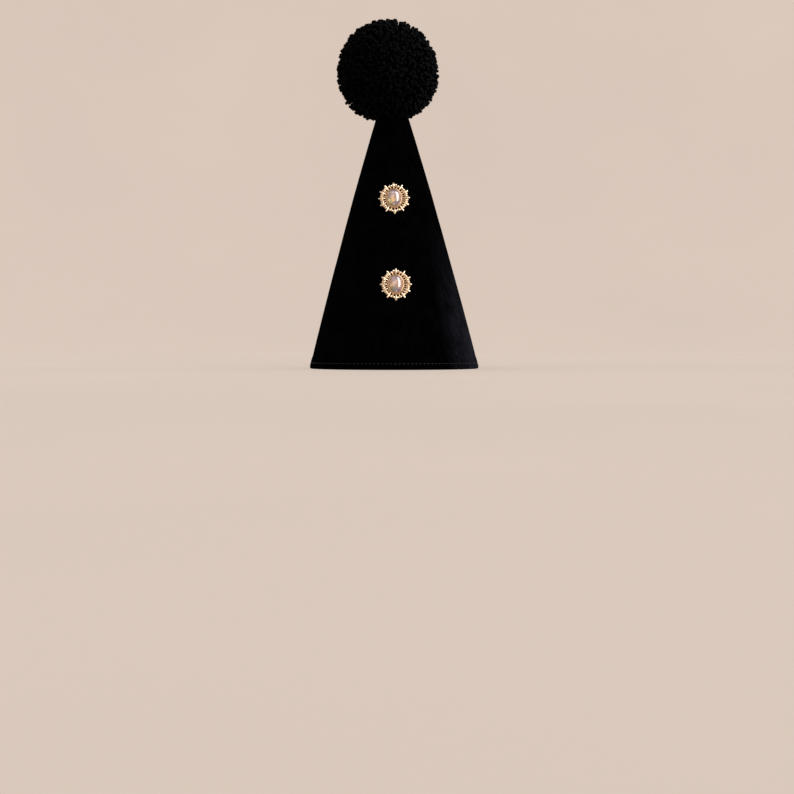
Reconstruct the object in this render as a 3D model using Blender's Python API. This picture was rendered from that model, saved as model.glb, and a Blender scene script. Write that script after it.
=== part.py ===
"""Party hat: a black velvet cone with a bound rim, a yarn pompom on its tip and two jewelled brooches
down its front. It stands upright on its rim. Metres, +Z up, front towards -Y, origin under the middle
of the rim on the surface it stands on."""

import math
import random

import bmesh
import bpy
from mathutils import Matrix, Vector

MM = 0.001
GAP = 0.3 * MM  # clearance between neighbouring pieces

# The cone. Its side is a straight line from rim to apex that bows out a little, and stands upright
# over the last centimetre, so that the folded band lies almost flush with it.
RIM_RADIUS = 76.0 * MM
APEX_HEIGHT = 272.0 * MM
SIDE_BULGE = 2.15 * MM
FOOT_RADIUS = 73.1 * MM
FOOT_HEIGHT = 11.6 * MM
TIP_HEIGHT = 254.0 * MM
TIP_LEAN = 2.0 * MM
WALL = 1.8 * MM
CONE_SIDES = 48
OUTER_SPANS = 4
INNER_SPANS = 3

# The cloth band folded round the rim
BAND_THICKNESS = 1.0 * MM
BAND_RADIUS = 75.6 * MM
BAND_PROUD = 0.5 * MM  # how far it stands off the line of the cone's side
BAND_HEIGHT = 11.0 * MM
BAND_INNER_HEIGHT = 5.5 * MM
BAND_ROUNDING = 0.9 * MM
BAND_EDGE = 0.4 * MM

# The pompom
POMPOM_CENTRE = Vector((-5.9 * MM, 0.0, 266.7 * MM))
CORE_RADIUS = 41.0 * MM
LOCK_TIP_RANGE = (43.2 * MM, 45.8 * MM)
LOCK_SAG = 2.2 * MM  # how much longer the lowest locks are
LOCK_SWAY = 1.1 * MM
LOCK_ROOTS = 340
LOCK_SEED = 7
SOCKET_MARGIN = 3.5 * MM
SOCKET_START = 205.0 * MM

# The brooches, in their own plane: x to the right, y up, z out of the cone
GALLERY_RADIUS = 12.3 * MM
GALLERY_INNER_HALF = (9.4 * MM, 10.6 * MM)
GALLERY_LEVEL = 1.25 * MM
GALLERY_HALF_DEPTH = 0.6 * MM
GALLERY_SIDES = 36
BEZEL_HALF = (8.0 * MM, 9.35 * MM)
BEZEL_WALL = 1.9 * MM
BEZEL_BASE = 1.1 * MM
BEZEL_HEIGHT = 3.3 * MM
OVAL_SIDES = 24
STRUT_WIDTH = 1.1 * MM
STRUT_DEPTH = 0.9 * MM
BEAD_OVAL = (10.6 * MM, 11.7 * MM)
BEAD_RADIUS = 0.95 * MM
BEAD_LEVEL = 1.7 * MM
BEAD_RINGS = (0.0, 52.0)  # degrees up the ball
BEAD_SIDES = 10
BEADS_PER_SPIKE = 2
SPIKE_HALF_WIDTH = 1.0 * MM
SPIKE_TIP_WIDTH = 0.65 * MM
SPIKE_FLATNESS = 0.85
SPIKE_STEM = 0.7 * MM  # the stem's half width where it leaves the bezel
SPIKE_ROOT = 0.25 * MM
SPIKE_REACH = (13.9 * MM, 14.7 * MM)
LEAF_HALF_WIDTH = 1.8 * MM  # the top and bottom ones end in a broad point
LEAF_TIP_WIDTH = 0.3 * MM
SPIKE_SIDES = 4
SPIKE_BEARINGS = (0.0, 33.0, 62.0, 90.0)  # degrees from the top and from the bottom, on both sides
POST_RADIUS = 0.8 * MM
POST_LENGTH = 4.2 * MM
POST_SIDES = 10
CABOCHON_GIRDLE = 1.6 * MM
CABOCHON_DOME = 3.1 * MM
DOME_STEPS = 5
CLUTCH_RADIUS = 3.0 * MM
CLUTCH_THICKNESS = 1.8 * MM
CLUTCH_FLOOR = 0.5 * MM
CLUTCH_STANDOFF = 0.5 * MM
CLUTCH_SIDES = 12

# Where each brooch sits: height of its middle, degrees round to the right, degrees turned anticlockwise
BROOCHES = (
    {"name": "upper", "height": 149.4 * MM, "azimuth": 1.7, "turn": 2.4},
    {"name": "lower", "height": 73.5 * MM, "azimuth": 2.1, "turn": 0.0},
)

# Colour (linear), roughness, metallic
FINISHES = {
    "velvet": ((0.005, 0.005, 0.006), 0.95, 0.0),
    "yarn": ((0.007, 0.007, 0.009), 0.9, 0.0),
    "gold": ((0.83, 0.56, 0.30), 0.28, 1.0),
    "opal": ((0.36, 0.30, 0.32), 0.08, 0.0),
    "steel": ((0.55, 0.55, 0.57), 0.35, 1.0),
}


def clear_scene():
    for item in list(bpy.data.objects):
        bpy.data.objects.remove(item, do_unlink=True)


def finish(name, kind):
    colour, roughness, metallic = FINISHES[kind]
    material = bpy.data.materials.new(name)
    material.use_nodes = True
    shader = material.node_tree.nodes["Principled BSDF"]
    shader.inputs["Base Color"].default_value = (*colour, 1.0)
    shader.inputs["Roughness"].default_value = roughness
    shader.inputs["Metallic"].default_value = metallic
    return material


def add_piece(name, mesh, kind, matrix=None):
    """One visible sub-part with a material of its own."""
    mesh = mesh.copy()
    mesh.name = name
    mesh.materials.clear()
    mesh.materials.append(finish(name, kind))
    piece = bpy.data.objects.new(name, mesh)
    bpy.context.collection.objects.link(piece)
    if matrix is not None:
        piece.matrix_world = matrix
    mesh.shade_smooth()
    mesh.set_sharp_from_angle(angle=math.radians(35))
    return piece


def add_helper(name, mesh, matrix=None):
    """A cutter or a shape to be joined, which isn't part of the hat."""
    helper = bpy.data.objects.new(name, mesh)
    bpy.context.scene.collection.objects.link(helper)
    helper.hide_render = True
    helper.display_type = "WIRE"
    if matrix is not None:
        helper.matrix_world = matrix
    return helper


def cut(piece, cutter):
    modifier = piece.modifiers.new(cutter.name, "BOOLEAN")
    modifier.operation = "DIFFERENCE"
    modifier.solver = "EXACT"
    modifier.object = cutter


def to_mesh(name, shape):
    bmesh.ops.recalc_face_normals(shape, faces=shape.faces)
    mesh = bpy.data.meshes.new(name)
    shape.to_mesh(mesh)
    shape.free()
    return mesh


def ovals(name, steps, sides, looped=False, centre_x=None):
    """A closed mesh through ovals of ((half across, half along), height). Looped steps make a ring, and
    any other are capped at both ends. centre_x gives the axis' place at a height."""
    shape = bmesh.new()
    turns = [math.tau * i / sides for i in range(sides)]
    rings = []
    for (across, along), height in steps:
        shift = centre_x(height) if centre_x else 0.0
        places = [(shift + across * math.cos(turn), along * math.sin(turn), height) for turn in turns]
        rings.append([shape.verts.new(place) for place in places])
    pairs = list(zip(rings, rings[1:]))
    if looped:
        pairs.append((rings[-1], rings[0]))
    for first, second in pairs:
        for i in range(sides):
            j = (i + 1) % sides
            shape.faces.new((first[i], first[j], second[j], second[i]))
    if not looped:
        shape.faces.new(rings[0])
        shape.faces.new(rings[-1])
    return to_mesh(name, shape)


def turned(name, profile, sides, looped=False, centre_x=None):
    """A round piece turned about Z from (radius, height) points."""
    steps = [((radius, radius), height) for radius, height in profile]
    return ovals(name, steps, sides, looped, centre_x)


def block(name, low, high):
    shape = bmesh.new()
    bmesh.ops.create_cube(shape, size=1.0)
    low, high = Vector(low), Vector(high)
    size = high - low
    middle = Matrix.Translation((low + high) / 2)
    bmesh.ops.transform(shape, matrix=middle @ Matrix.Diagonal((*size, 1.0)), verts=shape.verts)
    return to_mesh(name, shape)


# The cone's own measures, which every neighbour uses


def side_radius(height):
    share = height / APEX_HEIGHT
    return RIM_RADIUS * (1 - share) + 4 * SIDE_BULGE * share * (1 - share)


def cone_radius(height):
    return min(side_radius(height), FOOT_RADIUS)


def cone_slope(height):
    """How fast the radius changes with height."""
    return -RIM_RADIUS / APEX_HEIGHT + 4 * SIDE_BULGE * (1 - 2 * height / APEX_HEIGHT) / APEX_HEIGHT


def axis_x(height):
    return -TIP_LEAN * height / APEX_HEIGHT


def spans(start, end, count):
    return [start + (end - start) * i / count for i in range(count + 1)]


def wall_run():
    """The wall's thickness measured level."""
    return WALL * math.hypot(1.0, RIM_RADIUS / APEX_HEIGHT)


def cone_shell():
    foot = BAND_THICKNESS + GAP
    outer = [foot] + spans(FOOT_HEIGHT, TIP_HEIGHT, OUTER_SPANS)
    inner = [foot] + spans(FOOT_HEIGHT, TIP_HEIGHT - WALL, INNER_SPANS)
    profile = [(cone_radius(height) - wall_run(), height) for height in reversed(inner)]
    profile += [(cone_radius(height), height) for height in outer]
    mesh = turned("cone_shell", profile, CONE_SIDES, centre_x=axis_x)
    return add_piece("cone_shell", mesh, "velvet")


def rim_binding():
    """A folded band: outer leg, flat foot and inner leg, clear of the shell that it wraps."""
    shell_face = FOOT_RADIUS + GAP
    inner_face = FOOT_RADIUS - wall_run() - GAP - BAND_THICKNESS
    edge = BAND_HEIGHT - BAND_EDGE
    inner_top = cone_radius(BAND_INNER_HEIGHT) - wall_run() - GAP
    profile = [
        (inner_face + BAND_ROUNDING, 0.0),
        (BAND_RADIUS - BAND_ROUNDING, 0.0),
        (BAND_RADIUS, BAND_ROUNDING * 1.4),
        (side_radius(BAND_HEIGHT / 2) + BAND_PROUD, BAND_HEIGHT / 2),
        (side_radius(edge) + BAND_PROUD, edge),
        (shell_face + BAND_EDGE, BAND_HEIGHT),
        (shell_face, edge),
        (shell_face, BAND_THICKNESS),
        (FOOT_RADIUS - wall_run() - GAP, BAND_THICKNESS),
        (inner_top, BAND_INNER_HEIGHT),
        (inner_top - BAND_THICKNESS, BAND_INNER_HEIGHT),
        (inner_face, BAND_ROUNDING),
    ]
    mesh = turned("rim_binding", profile, CONE_SIDES, looped=True, centre_x=axis_x)
    return add_piece("rim_binding", mesh, "velvet")


def even_directions(count):
    """Directions spread evenly over a ball, along a golden-angle spiral."""
    golden = math.pi * (3 - math.sqrt(5))
    for i in range(count):
        level = 1 - (2 * i + 1) / count
        reach = math.sqrt(1 - level * level)
        yield Vector((reach * math.cos(golden * i), reach * math.sin(golden * i), level))


def over_the_tip(point):
    """Whether a point on the pompom lies where the cone enters it."""
    beside = math.hypot(point.x - axis_x(point.z), point.y)
    return point.z < POMPOM_CENTRE.z and beside < cone_radius(point.z) + SOCKET_MARGIN


def pompom():
    """A ball of short locks that share one core, with a socket where it sits over the cone's tip."""
    shape = bmesh.new()
    for direction in even_directions(LOCK_ROOTS):
        shape.verts.new(POMPOM_CENTRE + direction * CORE_RADIUS)
    bmesh.ops.convex_hull(shape, input=shape.verts)
    roots = [face for face in shape.faces if not over_the_tip(face.calc_center_median())]
    tips = bmesh.ops.poke(shape, faces=roots)["verts"]
    length = random.Random(LOCK_SEED)
    for tip in tips:
        outward = (tip.co - POMPOM_CENTRE).normalized()
        sway = Vector([length.uniform(-LOCK_SWAY, LOCK_SWAY) for _ in range(3)])
        sag = LOCK_SAG * max(0.0, -outward.z) ** 2
        tip.co = POMPOM_CENTRE + outward * (length.uniform(*LOCK_TIP_RANGE) + sag) + sway
    piece = add_piece("pompom", to_mesh("pompom", shape), "yarn")
    heights = spans(SOCKET_START, TIP_HEIGHT, 1) + [TIP_HEIGHT + GAP]
    profile = [(cone_radius(min(height, TIP_HEIGHT)) + GAP, height) for height in heights]
    socket = turned("socket_cutter", profile, CONE_SIDES, centre_x=axis_x)
    cut(piece, add_helper("socket_cutter", socket))
    return piece


def spike_directions():
    """Degrees anticlockwise from the right for all spikes, in order."""
    directions = set()
    for pole in (90.0, 270.0):
        for bearing in SPIKE_BEARINGS:
            directions.add((pole + bearing) % 360)
            directions.add((pole - bearing) % 360)
    return sorted(directions)


def bezel_radius(turn):
    """The bezel's outer oval, measured from its middle in one direction."""
    across, along = BEZEL_HALF
    return across * along / math.hypot(along * math.cos(turn), across * math.sin(turn))


def spike(name, direction):
    """A stem that runs out from the bezel under the gallery, blunt at its end, or a broad leaf."""
    turn = math.radians(direction)
    side_reach, top_reach = SPIKE_REACH
    reach = math.hypot(side_reach * math.cos(turn), top_reach * math.sin(turn))
    upright = direction in (90.0, 270.0)
    half_width = LEAF_HALF_WIDTH if upright else SPIKE_HALF_WIDTH
    tip_width = LEAF_TIP_WIDTH if upright else SPIKE_TIP_WIDTH
    profile = [
        (SPIKE_STEM, bezel_radius(turn) - BEZEL_WALL * 0.6),
        (half_width, GALLERY_RADIUS - SPIKE_ROOT),
        (tip_width, reach),
    ]
    flatten = Matrix.Diagonal((SPIKE_FLATNESS, 1.0, 1.0, 1.0))
    lay_down = Matrix.Rotation(turn, 4, "Z") @ Matrix.Rotation(math.radians(90), 4, "Y")
    matrix = Matrix.Translation((0, 0, GALLERY_LEVEL)) @ lay_down @ flatten
    return add_helper(name, turned(name, profile, SPIKE_SIDES), matrix)


def strut(name, direction):
    """A flat wire from the bezel to the gallery, halfway between two stems."""
    start = bezel_radius(math.radians(direction)) - BEZEL_WALL * 0.6
    low = (start, -STRUT_WIDTH / 2, GALLERY_LEVEL - STRUT_DEPTH / 2)
    high = (GALLERY_RADIUS, STRUT_WIDTH / 2, GALLERY_LEVEL + STRUT_DEPTH / 2)
    matrix = Matrix.Rotation(math.radians(direction), 4, "Z")
    return add_helper(name, block(name, low, high), matrix)


def bead(name, direction):
    """A round grain, soldered on by its lower half."""
    turn = math.radians(direction)
    profile = [(BEAD_RADIUS * 0.8, -BEAD_RADIUS * 0.6)]
    for degrees in BEAD_RINGS:
        up = math.radians(degrees)
        profile.append((BEAD_RADIUS * math.cos(up), BEAD_RADIUS * math.sin(up)))
    place = (BEAD_OVAL[0] * math.cos(turn), BEAD_OVAL[1] * math.sin(turn), BEAD_LEVEL)
    return add_helper(name, turned(name, profile, BEAD_SIDES), Matrix.Translation(place))


def gallery_band():
    """The round outer ring, whose inner edge is an oval that keeps its distance from the bezel."""
    low = GALLERY_LEVEL - GALLERY_HALF_DEPTH
    top = GALLERY_LEVEL + GALLERY_HALF_DEPTH
    round_half = (GALLERY_RADIUS, GALLERY_RADIUS)
    steps = [
        (GALLERY_INNER_HALF, low),
        (round_half, low),
        (round_half, top),
        (GALLERY_INNER_HALF, top),
    ]
    return add_helper("gallery_band", ovals("gallery_band", steps, GALLERY_SIDES, looped=True))


def bezel_inset(inset):
    """The half sizes of the bezel's outer oval, drawn in all round."""
    return (BEZEL_HALF[0] - inset, BEZEL_HALF[1] - inset)


def bezel_cup():
    """The closed oval cup that holds the stone. Its wall leans in over the girdle."""
    lip = BEZEL_WALL * 0.35
    steps = [
        (bezel_inset(BEZEL_WALL * 0.5), 0.0),
        (bezel_inset(0.0), BEZEL_BASE),
        (bezel_inset(0.0), BEZEL_BASE * 2),
        (bezel_inset(lip), BEZEL_HEIGHT),
        (bezel_inset(BEZEL_WALL), BEZEL_HEIGHT - lip),
        (bezel_inset(BEZEL_WALL), BEZEL_BASE),
    ]
    return add_helper("bezel_cup", ovals("bezel_cup", steps, OVAL_SIDES))


def brooch_frame_mesh():
    """Bezel, struts, gallery band, beads, spikes and post, soldered into one solid."""
    spikes = spike_directions()
    joined = [gallery_band()]
    for i, direction in enumerate(spikes):
        following = spikes[(i + 1) % len(spikes)] + (360 if i + 1 == len(spikes) else 0)
        joined.append(spike(f"spike_{i}", direction))
        for k in range(1, BEADS_PER_SPIKE + 1):
            between = direction + (following - direction) * k / (BEADS_PER_SPIKE + 1)
            joined.append(bead(f"bead_{i}_{k}", between))
        joined.append(strut(f"strut_{i}", (direction + following) / 2))
    post = turned("post", [(POST_RADIUS, -POST_LENGTH), (POST_RADIUS, BEZEL_BASE / 2)], POST_SIDES)
    joined.append(add_helper("post", post))
    shapes = bpy.data.collections.new("brooch_shapes")
    bpy.context.scene.collection.children.link(shapes)
    for item in joined:
        bpy.context.scene.collection.objects.unlink(item)
        shapes.objects.link(item)
    cup = bezel_cup()
    union = cup.modifiers.new("solder", "BOOLEAN")
    union.operation = "UNION"
    union.solver = "EXACT"
    union.operand_type = "COLLECTION"
    union.collection = shapes
    graph = bpy.context.evaluated_depsgraph_get()
    mesh = bpy.data.meshes.new_from_object(cup.evaluated_get(graph))
    for item in [*joined, cup]:
        bpy.data.objects.remove(item, do_unlink=True)
    bpy.data.collections.remove(shapes)
    return mesh


def cabochon_mesh():
    """A polished oval stone with a flat back, an upright girdle and a domed top."""
    across, along = bezel_inset(BEZEL_WALL + GAP)
    floor = BEZEL_BASE + GAP
    girdle = floor + CABOCHON_GIRDLE
    steps = [((across, along), floor), ((across, along), girdle)]
    for i in range(1, DOME_STEPS):
        turn = math.radians(90) * i / DOME_STEPS
        narrowing = across * (1 - math.cos(turn))
        steps.append(((across - narrowing, along - narrowing), girdle + CABOCHON_DOME * math.sin(turn)))
    return ovals("cabochon", steps, OVAL_SIDES)


def clutch_mesh():
    """A plain disc with a blind bore, pushed over the post's end inside the cone."""
    bore = POST_RADIUS + GAP
    front = -GAP - WALL - CLUTCH_STANDOFF
    bore_end = -POST_LENGTH - GAP
    back = min(front - CLUTCH_THICKNESS, bore_end - CLUTCH_FLOOR)
    profile = [(bore, bore_end), (bore, front), (CLUTCH_RADIUS, front), (CLUTCH_RADIUS, back)]
    return turned("clutch", profile, CLUTCH_SIDES)


def brooch_matrix(row):
    """Stands a brooch on the cone's front, its back 0.3 mm off the cloth."""
    azimuth = math.radians(row["azimuth"])
    height = row["height"]
    slope = cone_slope(height)
    outward = Vector((math.sin(azimuth), -math.cos(azimuth), 0.0))
    upward = (outward * slope + Vector((0.0, 0.0, 1.0))).normalized()
    normal = (outward - Vector((0.0, 0.0, slope))).normalized()
    right = upward.cross(normal)
    place = Vector((axis_x(height), 0.0, height)) + outward * cone_radius(height) + normal * GAP
    basis = Matrix((right, upward, normal)).transposed().to_4x4()
    return Matrix.Translation(place) @ basis @ Matrix.Rotation(math.radians(row["turn"]), 4, "Z")


def brooches(shell):
    frame = brooch_frame_mesh()
    stone = cabochon_mesh()
    clutch = clutch_mesh()
    hole_radius = POST_RADIUS + GAP
    for row in BROOCHES:
        matrix = brooch_matrix(row)
        add_piece(f"{row['name']}_brooch_frame", frame, "gold", matrix)
        add_piece(f"{row['name']}_cabochon", stone, "opal", matrix)
        add_piece(f"{row['name']}_pin_clutch", clutch, "steel", matrix)
        name = f"{row['name']}_hole_cutter"
        profile = [(hole_radius, -2 * WALL), (hole_radius, WALL)]
        cut(shell, add_helper(name, turned(name, profile, POST_SIDES), matrix))


def main():
    clear_scene()
    shell = cone_shell()
    rim_binding()
    pompom()
    brooches(shell)


main()
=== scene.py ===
"""Looks of the party hat: velvet cone, stitched rim binding, yarn pompom and two jewelled brooches, on a
plain pale stage. Everything is in metres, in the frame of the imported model."""

import math
import random

import bmesh
import bpy
import numpy as np
from mathutils import Matrix, Quaternion, Vector, noise


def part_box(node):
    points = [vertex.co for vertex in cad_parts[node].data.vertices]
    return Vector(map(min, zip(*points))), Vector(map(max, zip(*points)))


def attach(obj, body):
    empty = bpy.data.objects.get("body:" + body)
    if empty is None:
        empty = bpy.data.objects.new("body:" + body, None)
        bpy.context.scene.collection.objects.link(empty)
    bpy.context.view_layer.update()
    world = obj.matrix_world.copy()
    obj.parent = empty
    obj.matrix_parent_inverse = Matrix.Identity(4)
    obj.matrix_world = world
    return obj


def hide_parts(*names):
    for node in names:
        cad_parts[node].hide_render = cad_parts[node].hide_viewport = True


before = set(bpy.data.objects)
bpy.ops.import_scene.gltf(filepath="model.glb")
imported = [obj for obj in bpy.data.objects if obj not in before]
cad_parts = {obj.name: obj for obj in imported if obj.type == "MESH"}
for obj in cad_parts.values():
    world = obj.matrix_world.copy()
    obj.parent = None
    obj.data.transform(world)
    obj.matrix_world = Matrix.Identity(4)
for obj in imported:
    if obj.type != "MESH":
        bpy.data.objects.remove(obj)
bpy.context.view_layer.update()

MM = 0.001
BODY = "root"

# The cone's driving sizes, as in the frame's solids
RIM_RADIUS = 76.0 * MM
APEX_HEIGHT = 272.0 * MM
SIDE_BULGE = 2.15 * MM
TIP_LEAN = 2.0 * MM
WALL = 1.8 * MM
GAP = 0.3 * MM
shell_low, shell_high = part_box("cone_shell")
band_low, band_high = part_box("rim_binding")
FOOT_RADIUS = (shell_high.x - shell_low.x) / 2
TIP_HEIGHT = shell_high.z
BAND_THICKNESS = shell_low.z - GAP
BAND_HEIGHT = band_high.z
BAND_RADIUS = (band_high.x - band_low.x) / 2

# The velvet's relief
SEAM_HALF_WIDTH = 1.6 * MM
SEAM_DEPTH = 0.7 * MM
SEAM_SHOULDER = 0.12 * MM  # how high the cloth swells beside the seam
SEAM_SHOULDER_PLACE = 2.2  # half widths from the seam's middle
SEAM_TURN = math.radians(90)  # the middle of the back
UNDULATION = 0.35 * MM
RELIEF_START = 8.0 * MM  # height above the foot where the relief is full
CONE_COLUMNS = 360
CONE_ROWS = 150
CONE_INNER_ROWS = 40

# The turned hem and its topstitching
BAND_INNER_HEIGHT = 5.5 * MM
HEM_ROUNDING = 1.1 * MM
HEM_PROUD = 0.35 * MM
HEM_EDGE_PROUD = 0.15  # share of it left at the upper edge
HEM_RISE = 4.0 * MM  # the height over which it would grow from nothing to the full
HEM_SIDE_START = 2.4 * MM
HEM_SIDE_STEPS = 16
HEM_WAVE = 0.1 * MM
HEM_SMOOTH_BELOW = 0.9 * MM
STITCHES = 127
STITCH_HEIGHT = 5.3 * MM
STITCH_LENGTH = 2.4 * MM
STITCH_RADIUS = 0.24 * MM
STITCH_SINK = 0.24 * MM
STITCH_BOW = 0.25 * MM
STITCH_SLANT = 0.1 * MM
STITCH_RINGS = 7
GROOVE_WIDTH = 0.9 * MM
GROOVE_DEPTH = 0.12 * MM
NEEDLE_HOLE_DEPTH = 0.22 * MM
BAND_COLUMNS = STITCHES * 6

# The pompom
POMPOM_CENTRE = Vector((-5.9 * MM, 0.0, 266.7 * MM))
POMPOM_SEED = 5
CORE_RADIUS = 37.5 * MM
CORE_LUMPS = ({"scale": 9, "height": 1.2 * MM}, {"scale": 22, "height": 0.7 * MM})
YARN_TIP_RANGE = (43.0 * MM, 45.9 * MM)
YARN_SAG = 2.5 * MM  # how much longer the ends are halfway down the lower half
YARN_ROOT_RADIUS = 28.0 * MM
YARN_ENDS = 1600
YARN_SCATTER = 0.012  # how far the directions stray from an even spread
YARN_LEAN = 0.03
YARN_BEND = 1.3 * MM
YARN_CLEARANCE = 1.5 * MM  # ends deeper than this under the cone's side are left out
YARN_PLIES = 3
YARN_SIDES = 5
YARN_RINGS = (0.0, 0.25, 0.45, 0.62, 0.76, 0.86, 0.92, 0.96, 0.985, 1.0)  # along each end, from its root
YARN_GIRTH = (0.6, 1.0, 1.0, 1.0, 1.02, 1.1, 1.16, 1.12, 0.95, 0.55)  # at each of those places
YARN_SPREAD = (1.0, 1.0, 1.0, 1.0, 1.0, 1.05, 1.08, 1.0, 0.85, 0.55)  # how far its plies lie apart there
PLY_RADIUS = 0.76 * MM
PLY_GIRTH_RANGE = (0.85, 1.12)
PLY_OFFSET = 0.66 * MM
YARN_PITCH = 8.0 * MM
FIBRES_PER_END = 7
FIBRE_FAN = 0.55
FIBRE_SET_BACK = 0.8 * MM
FIBRE_STRAY = 0.45 * MM
FIBRE_LENGTH_RANGE = (0.9 * MM, 1.7 * MM)
FIBRE_RADIUS = 0.075 * MM

# Colours from dark to light, in linear values
VELVET_TONES = ((0.0001, 0.0001, 0.00012), (0.0009, 0.00088, 0.0012))
VELVET_SHEEN = 0.0026
YARN_TONES = ((0.0001, 0.0001, 0.00014), (0.0006, 0.0006, 0.0009))
CORE_TONES = ((0.0003, 0.0003, 0.0004), (0.0008, 0.0008, 0.001))
THREAD_TONES = ((0.004, 0.004, 0.005), (0.015, 0.015, 0.018))
STEEL_TONES = ((0.42, 0.42, 0.44), (0.62, 0.62, 0.64))
# Gold and rose gold: painted shade for recesses and shaded sides, the plate's own colour, then a painted
# highlight at bright edges
GOLD_TONES = ((0.07, 0.03, 0.01), (0.38, 0.22, 0.11), (0.80, 0.61, 0.42), (0.94, 0.82, 0.64))
ROSE_GOLD_TONES = ((0.12, 0.06, 0.03), (0.31, 0.18, 0.10), (0.52, 0.35, 0.22), (0.60, 0.42, 0.29))
STAGE_TONES = ((0.42, 0.365, 0.318), (0.47, 0.408, 0.356))
STAGE_GLOW = (1.0, 0.878, 0.79)
WORLD_LIGHT = (1.0, 0.985, 0.965)

# The stones' soft patches of colour: place and half size as shares of the stone's half height
OPAL_GROUND = (0.36, 0.24, 0.19)
MAUVE = (0.20, 0.14, 0.17)
LILAC = (0.46, 0.34, 0.38)
GOLD_FIRE = (0.78, 0.52, 0.24)
LIME_FIRE = (0.70, 0.67, 0.28)
PALE_FIRE = (0.98, 0.86, 0.52)
OLIVE = (0.26, 0.24, 0.12)
BLUE_GREY = (0.20, 0.23, 0.24)
ROSE = (0.62, 0.42, 0.40)
PLUM = (0.17, 0.10, 0.19)
# Pale pink spots painted as highlights, high and low on the stones
PINK_HIGHLIGHT = (0.68, 0.55, 0.60)
COPPER = (0.46, 0.23, 0.15)
CREAM = (0.70, 0.52, 0.38)
PATCH_STRAY = 0.5  # how far the patches' outlines wander
UPPER_PATCHES = (
    {"place": (0.1, 0.75), "half": (0.9, 0.6), "colour": MAUVE, "strength": 1.0},
    {"place": (-0.3, 0.35), "half": (0.6, 0.4), "colour": LILAC, "strength": 0.45},
    {"place": (-0.15, 0.56), "half": (0.32, 0.2), "colour": PINK_HIGHLIGHT, "strength": 1.0},
    {"place": (0.3, -0.6), "half": (0.62, 0.5), "colour": MAUVE, "strength": 1.0},
    {"place": (-0.5, -0.6), "half": (0.5, 0.5), "colour": OLIVE, "strength": 0.7},
    {"place": (-0.22, 0.04), "half": (0.34, 0.34), "colour": CREAM, "strength": 0.8},
    {"place": (-0.14, -0.36), "half": (0.38, 0.42), "colour": GOLD_FIRE, "strength": 1.0},
    {"place": (-0.64, -0.46), "half": (0.28, 0.36), "colour": LIME_FIRE, "strength": 1.0},
    {"place": (-0.48, -0.66), "half": (0.3, 0.26), "colour": LIME_FIRE, "strength": 0.7},
    {"place": (-0.66, -0.4), "half": (0.18, 0.26), "colour": PALE_FIRE, "strength": 1.0},
    {"place": (-0.08, -0.96), "half": (0.22, 0.22), "colour": PINK_HIGHLIGHT, "strength": 0.9},
)
LOWER_PATCHES = (
    {"place": (0.1, 0.72), "half": (0.9, 0.5), "colour": MAUVE, "strength": 0.9},
    {"place": (-0.35, 0.6), "half": (0.4, 0.4), "colour": LILAC, "strength": 0.6},
    {"place": (-0.6, -0.6), "half": (0.45, 0.6), "colour": OLIVE, "strength": 0.8},
    {"place": (0.34, -0.9), "half": (0.5, 0.4), "colour": PLUM, "strength": 1.0},
    {"place": (-0.72, 0.14), "half": (0.26, 0.4), "colour": COPPER, "strength": 0.8},
    {"place": (0.74, -0.1), "half": (0.24, 0.5), "colour": COPPER, "strength": 0.8},
    {"place": (-0.06, 0.12), "half": (0.26, 0.5), "colour": ROSE, "strength": 0.8},
    {"place": (-0.66, -0.26), "half": (0.34, 0.32), "colour": GOLD_FIRE, "strength": 1.0},
    {"place": (-0.28, -0.06), "half": (0.18, 0.55), "colour": CREAM, "strength": 1.0},
    {"place": (-0.17, -0.72), "half": (0.36, 0.28), "colour": BLUE_GREY, "strength": 1.0},
    {"place": (0.02, -1.04), "half": (0.22, 0.26), "colour": PINK_HIGHLIGHT, "strength": 1.0},
)

# Where each brooch sits: height of its middle, degrees round to the right, degrees turned anticlockwise
BROOCHES = (
    {"name": "upper", "height": 149.4 * MM, "azimuth": 1.7, "turn": 2.4,
     "seed": 3, "patches": UPPER_PATCHES},
    {"name": "lower", "height": 73.5 * MM, "azimuth": 2.1, "turn": 0.0,
     "seed": 11, "patches": LOWER_PATCHES},
)
BEZEL_HALF = (8.0 * MM, 9.35 * MM)
BEZEL_WALL = 1.9 * MM
BEZEL_BASE = 1.1 * MM
BEZEL_HEIGHT = 3.3 * MM
BEZEL_SECTION = (  # how far in from the outside, as a share of the wall, from the floor up and back down
    {"inset": 0.5, "height": 0.0},
    {"inset": 0.1, "height": BEZEL_BASE * 0.6},
    {"inset": 0.0, "height": BEZEL_BASE},
    {"inset": 0.0, "height": BEZEL_BASE * 1.7},
    {"inset": 0.1, "height": BEZEL_BASE * 2.0},
    {"inset": 0.45, "height": BEZEL_HEIGHT - 0.5 * MM},
    {"inset": 0.8, "height": BEZEL_HEIGHT - 0.05 * MM},
    {"inset": 0.92, "height": BEZEL_HEIGHT},
    {"inset": 1.0, "height": BEZEL_HEIGHT - 0.12 * MM},
    {"inset": 1.0, "height": BEZEL_BASE},
)
GALLERY_RADIUS = 12.3 * MM
GALLERY_INNER_HALF = (9.4 * MM, 10.6 * MM)
GALLERY_LEVEL = 1.25 * MM
PLATE_BOTTOM = GALLERY_LEVEL - 0.45 * MM
PLATE_TOP = GALLERY_LEVEL - 0.05 * MM
PLATE_RADIUS = GALLERY_RADIUS - 0.35 * MM
RIM_WIRE = 0.28 * MM
RIM_WIRE_LEVEL = GALLERY_LEVEL - 0.2 * MM
FINE_WIRE = 0.24 * MM
FINE_WIRE_OUTSET = 0.2 * MM
STRUT_RADIUS = 0.58 * MM
BEZEL_OVERLAP = 0.5 * MM  # how far stems and struts run into the bezel
GALLERY_OVERLAP = 0.8 * MM  # how far struts run into the gallery
BEAD_OVAL = (10.6 * MM, 11.7 * MM)
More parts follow.
